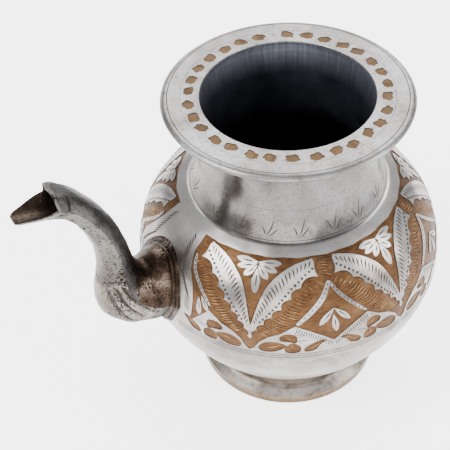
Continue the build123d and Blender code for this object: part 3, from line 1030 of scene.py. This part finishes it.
turned_piece(
    "engraved_mouth_rim",
    "mouth_rim_flange",
    rim_work,
    (RIM_TIN, GROOVE, SHADED_INSIDE_TIN, HAMMERED_BRASS),
    plain=lambda s: SHADED_INSIDE if RIM_BORE_START + 0.5 < s < rim.total - 3.0 else TIN,
    cell=lambda s: 3.0,
)

# ---------------------------------------------------------------- bird spout

# Sections of the spout: x, z, slope in degrees, half width, and reach to the back and to the front
SPOUT_STATIONS = [
    (74.0, 93.0, 0.0, 19.0, 24.8, 17.5),
    (83.0, 93.0, 0.0, 18.6, 23.4, 17.2),
    (89.5, 94.5, 6.0, 17.4, 19.2, 18.4),
    (96.5, 98.5, 20.0, 16.0, 16.4, 19.8),
    (102.8, 107.0, 50.0, 13.6, 14.0, 18.4),
    (104.2, 120.0, 76.0, 11.6, 9.8, 10.6),
    (105.2, 135.0, 76.0, 10.2, 7.8, 8.8),
    (109.3, 150.0, 66.0, 9.6, 7.2, 8.0),
    (115.8, 163.0, 52.0, 9.5, 7.0, 7.4),
    (124.0, 173.4, 32.0, 9.5, 7.6, 7.2),
    (133.5, 178.8, 14.0, 9.4, 8.8, 7.8),
]
SPOUT_WALL = 2.4

# One section seen along the spout: a round back, flat sides, and a narrower rounded front
BACK, SIDE, FRONT = range(3)
BACK_STEPS, SIDE_STEPS, FRONT_STEPS = 48, 24, 30
FRONT_HALF, FRONT_FROM = 0.62, 0.7
RING = []
for i in range(BACK_STEPS):
    turn = math.pi * i / BACK_STEPS
    RING.append((BACK, math.cos(turn), math.sin(turn)))
for i in range(SIDE_STEPS):
    RING.append((SIDE, -1 + (1 - FRONT_HALF) * i / SIDE_STEPS, -FRONT_FROM * i / SIDE_STEPS))
for i in range(FRONT_STEPS):
    turn = math.pi * i / FRONT_STEPS
    RING.append((FRONT, -FRONT_HALF * math.cos(turn), -FRONT_FROM - (1 - FRONT_FROM) * math.sin(turn)))
for i in range(SIDE_STEPS):
    RING.append((SIDE, FRONT_HALF + (1 - FRONT_HALF) * i / SIDE_STEPS, FRONT_FROM * (i / SIDE_STEPS - 1)))

# Carved lines seen from the side, each with its points (x, z), depth and half width: the wing's upper border,
# its feathers, and the edge behind it
WING_LINES = (
    ([(91.5, 112.0), (98.0, 115.4), (106.0, 116.8), (114.5, 116.2)], 0.75, 1.1),
    ([(113.6, 113.5), (111.8, 102.0), (107.2, 91.0), (102.6, 83.6)], 1.25, 0.85),
    ([(109.6, 113.0), (107.4, 104.0), (103.4, 95.6), (97.8, 88.2)], 1.25, 0.8),
    ([(106.0, 113.4), (103.2, 106.0), (98.6, 98.8), (93.6, 93.6)], 1.15, 0.75),
    ([(101.8, 113.0), (98.6, 107.4), (94.4, 102.2)], 1.15, 0.75),
    ([(97.4, 112.4), (94.6, 108.6), (92.0, 106.2)], 0.9, 0.65),
    ([(93.4, 113.0), (91.0, 103.0), (90.4, 90.0)], 0.45, 1.2),
)
DEEPEST_CARVING = 1.25
# The middle of the eye (x, z) and the reach of the ring cut round it
EYE_AT = (128.6, 180.6)
EYE_REACH = (4.2, 6.2)


def carved(x, z, zone):
    """Height of the carving on the spout's sides in millimetres."""
    if zone == BACK:
        return 0.0
    height = 0.0
    for line, depth, width in WING_LINES:
        # A line is carved only from 14 mm before its first point to 24 mm past it
        if not line[0][0] - 14 < x < line[0][0] + 24:
            continue
        nearest = 1e9
        for (ax, az), (bx, bz) in zip(line, line[1:]):
            dx, dz = bx - ax, bz - az
            t = min(max(((x - ax) * dx + (z - az) * dz) / (dx * dx + dz * dz), 0.0), 1.0)
            nearest = min(nearest, math.hypot(x - ax - t * dx, z - az - t * dz))
        ridge = 0.35 * depth * math.exp(-(((nearest - 1.9) / 1.1) ** 2))
        height += ridge - depth * math.exp(-((nearest / width) ** 2))
    return max(height, -DEEPEST_CARVING)


# The last rows of the spout, which are drawn out into the beak
BEAK_ROWS = 18


def spout_rows(wall):
    """The rows of one skin of the spout, from the belly to the beak; the root follows the belly's curve."""
    rows = []
    sections = curve(SPOUT_STATIONS, 22)
    for number, (x, z, slope, half_width, back, front) in enumerate(sections):
        tilt = math.radians(slope)
        near_beak = (number - len(sections) + BEAK_ROWS + 1) / BEAK_ROWS
        row = []
        thin = wall * (1 - 0.55 * max(near_beak, 0.0))
        square = 1 - 0.28 * min(max(near_beak + 0.6, 0.0), 1.0)
        for zone, turn, over in RING:
            across = turn
            if zone == BACK:
                across, over = math.copysign(abs(across) ** square, across), over**square
            y = (half_width - thin) * across
            h = (back - thin if over > 0 else front - thin) * over
            px, pz = x - h * math.sin(tilt), z + h * math.cos(tilt)
            if not wall:
                spot = Vector((px, y, pz))
                lift = carved(px, pz, zone)
                lift += 0.30 * noise.noise(spot * 0.16) + 0.10 * noise.noise(spot * 0.5)
                eye = math.hypot((px - EYE_AT[0]) / EYE_REACH[0], (pz - EYE_AT[1]) / EYE_REACH[1])
                eye = eye if abs(y) > 5.0 else 9.0
                lift += 0.5 * math.exp(-((eye / 0.6) ** 2)) - 0.95 * math.exp(-(((eye - 1.0) / 0.2) ** 2))
                outward = Vector((-over * math.sin(tilt), across, over * math.cos(tilt))).normalized()
                px, y, pz = spot + outward * lift
            if near_beak > 0:
                if zone == BACK:
                    reach = 1.2 * (1 - abs(turn)) ** 1.5
                else:
                    reach = 2.8 * min(-over / 0.35, 1.0) + 8.0 * max(-over - FRONT_FROM, 0.0)
                px += near_beak**2 * (h * math.sin(tilt) + reach - 1.8)
            level = min(pz, 128.0)
            radius = belly_radius(level) if level > BELLY_Z else lower_radius(level)
            row.append((max(px, math.sqrt(radius**2 - y * y) + 0.9) * MM, y * MM, pz * MM))
        rows.append(row)
    return rows


def tube_faces(first, rows, columns):
    """The faces between closed rows of vertices that start at number first."""
    faces = []
    for i in range(rows - 1):
        for k in range(columns):
            m = (k + 1) % columns
            a, b = first + i * columns, first + (i + 1) * columns
            faces.append((a + k, a + m, b + m, b + k))
    return faces


# The scooped lower lip of the beak: x, half width, top and bottom
LIP_STATIONS = [(127.0, 8.9, 178.4, 170.8), (134.0, 8.8, 178.2, 170.9), (139.5, 7.9, 177.5, 171.8)]
LIP_STATIONS += [(145.0, 6.2, 176.9, 172.9), (149.4, 4.8, 176.5, 173.8), (151.4, 3.2, 176.2, 174.6)]
LIP_ACROSS = 21
CAST, SHADED_BACK, SOLDERED, HOLLOW, GROOVED, BREAST_CAST = range(6)


def build_spout():
    """The bird spout: outer skin with its carved wing, inner channel, and the scooped lower lip."""
    outer, inner = spout_rows(0.0), spout_rows(SPOUT_WALL)
    rows, columns = len(outer), len(RING)
    verts = [spot for row in outer + inner for spot in row]
    faces = tube_faces(0, rows, columns)
    materials = []
    for number, face in enumerate(faces):
        x, y, z = (sum(verts[i][axis] for i in face) / 4 / MM for axis in range(3))
        ragged = 2.2 * noise.noise(Vector(verts[face[0]]) * 160)
        zone = RING[number % columns][0]
        if zone != BACK and abs(y) > 3.0 and carved(x, z, zone) < -0.85:
            materials.append(GROOVED)
        elif x < (99.5 if zone == BACK else 92.5) + ragged:
            materials.append(SOLDERED)
        elif zone == BACK:
            # The back up to the head gets the painted shade, and the sides keep the casting's colour
            materials.append(SHADED_BACK if x < 130.5 else CAST)
        else:
            materials.append(BREAST_CAST if z < 115.6 + 0.4 * ragged else CAST)
    inside = tube_faces(rows * columns, rows, columns)
    faces += [face[::-1] for face in inside]
    materials += [HOLLOW] * len(inside)
    for first, turn in ((0, False), ((rows - 1) * columns, True)):
        for k in range(columns):
            m = (k + 1) % columns
            face = (first + m, first + k, rows * columns + first + k, rows * columns + first + m)
            faces.append(face[::-1] if turn else face)
            materials.append(CAST)
    across = LIP_ACROSS
    lip_start = len(verts)
    profile = curve(LIP_STATIONS, 4)
    for x, half, top, bottom in profile:
        section = []
        for k in range(across):
            t = -1 + 2 * k / (across - 1)
            section.append((x, half * t, top - (top - bottom - 1.5) * (1 - abs(t) ** 2.4)))
        for k in range(across):
            t = 1 - 2 * k / (across - 1)
            section.append((x, half * t * 1.01, bottom + (top - 0.7 - bottom) * abs(t) ** 2.6))
        verts += [(px * MM, py * MM, pz * MM) for px, py, pz in section]
    lip_faces = tube_faces(lip_start, len(profile), 2 * across)
    faces += [face[::-1] for face in lip_faces]
    materials += [HOLLOW if i % (2 * across) < across - 1 else CAST for i in range(len(lip_faces))]
    for first in (lip_start, lip_start + (len(profile) - 1) * 2 * across):
        faces.append(tuple(range(first, first + 2 * across)))
        materials.append(HOLLOW)

    mesh = bpy.data.meshes.new("bird_spout")
    mesh.from_pydata(verts, [], faces)
    for material in (CASTING, SHADED_BACK_CASTING, SOLDER, BEAK_INSIDE, GROOVE, BREAST):
        mesh.materials.append(material)
    mesh.polygons.foreach_set("material_index", materials)
    mesh.polygons.foreach_set("use_smooth", [True] * len(faces))
    work = bmesh.new()
    work.from_mesh(mesh)
    bmesh.ops.recalc_face_normals(work, faces=work.faces)
    for joint in work.edges:
        if len(joint.link_faces) == 2 and joint.calc_face_angle(0.0) > math.radians(34):
            joint.smooth = False
    work.to_mesh(mesh)
    work.free()
    piece = standing("bird_spout", mesh)
    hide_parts("bird_spout_casting")


build_spout()

# ---------------------------------------------------------------- finishes of the remaining solids

for slot_name, material in (
    ("tinned_brass", BELLY_TIN),
    ("engraved_tinned_brass", BELLY_TIN),
    ("worn_tinned_brass", FOOT_TIN),
    ("cast_spout_brass", CASTING),
    ("braze_metal", SOLDER),
):
    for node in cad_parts.values():
        for holder in node.material_slots:
            if holder.material and holder.material.name.split(".")[0] == slot_name:
                holder.material = material
for node_name, material in (
    ("belly_braze_seam", BELLY_TIN),
    ("neck_braze_seam", SHADED_NECK_TIN),
    ("foot_braze_seam", SOLDER),
    ("spout_root_collar", SOLDER),
):
    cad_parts[node_name].material_slots[0].material = material

# ---------------------------------------------------------------- floor, light and camera

floor_mesh = bpy.data.meshes.new("floor")
floor_mesh.from_pydata([(-40, -40, 0), (40, -40, 0), (40, 40, 0), (-40, 40, 0)], [], [(0, 1, 2, 3)])
floor = bpy.data.objects.new("floor", floor_mesh)
bpy.context.scene.collection.objects.link(floor)
paper = surfaced(
    new_material("white_paper_floor")[0],
    {
        "Base Color": linear("#FFFFFF"),
        "Roughness": 0.9,
        "Emission Color": linear("#FFFFFF"),
        "Emission Strength": 2.4,
    },
)
floor_mesh.materials.append(paper)

world = bpy.data.worlds.new("studio")
bpy.context.scene.world = world
world.use_nodes = True
world.node_tree.nodes["Background"].inputs["Color"].default_value = linear("#E9ECF0")
world.node_tree.nodes["Background"].inputs["Strength"].default_value = 0.75

# The view looks down at the pot with the spout to the left
VIEW_TURN = math.radians(148.0)
PITCH, YAW, ROLL = math.radians(44.21), math.radians(-4.31), math.radians(-3.00)
CAMERA_AT = Vector((-0.0187, -6.922, 8.211)) * RIM_RADIUS * MM
LIT_POINT = (0, 0, 0.09)


def turned_to_view(vector):
    return Matrix.Rotation(VIEW_TURN, 3, "Z") @ Vector(vector)


def soft_box(name, place_at, size, power):
    """A large studio light, placed as seen from the camera's side: +X right, -Y towards the viewer."""
    light = bpy.data.lights.new(name, "AREA")
    light.shape = "RECTANGLE"
    light.size, light.size_y = size
    light.energy = power
    lamp = bpy.data.objects.new(name, light)
    bpy.context.scene.collection.objects.link(lamp)
    lamp.location = turned_to_view(place_at)
    direction = turned_to_view(LIT_POINT) - lamp.location
    lamp.rotation_euler = direction.to_track_quat("-Z", "Y").to_euler()


soft_box("key_left", (-0.9, -0.5, 1.1), (0.6, 0.8), 26.0)
soft_box("fill_right", (1.1, -0.3, 0.7), (0.4, 0.8), 13.0)
soft_box("top_back", (0.1, 1.0, 1.15), (1.5, 0.9), 30.0)
soft_box("front_high", (0.25, -1.2, 1.25), (1.3, 0.7), 10.0)
soft_box("front_low", (0.0, -1.9, 0.50), (2.0, 0.7), 34.0)

forward = Vector((math.sin(YAW) * math.cos(PITCH), math.cos(YAW) * math.cos(PITCH), -math.sin(PITCH)))
right = Vector((math.cos(YAW), -math.sin(YAW), 0.0))
up = right.cross(forward)
right, up = math.cos(ROLL) * right + math.sin(ROLL) * up, math.cos(ROLL) * up - math.sin(ROLL) * right
lens = bpy.data.cameras.new("camera")
lens.lens = 89.27
lens.sensor_width = 36.0
lens.clip_start = 0.01
camera = bpy.data.objects.new("camera", lens)
bpy.context.scene.collection.objects.link(camera)
axes = Matrix((turned_to_view(right), turned_to_view(up), turned_to_view(-forward))).transposed()
camera.matrix_world = Matrix.Translation(turned_to_view(CAMERA_AT)) @ axes.to_4x4()
bpy.context.scene.camera = camera
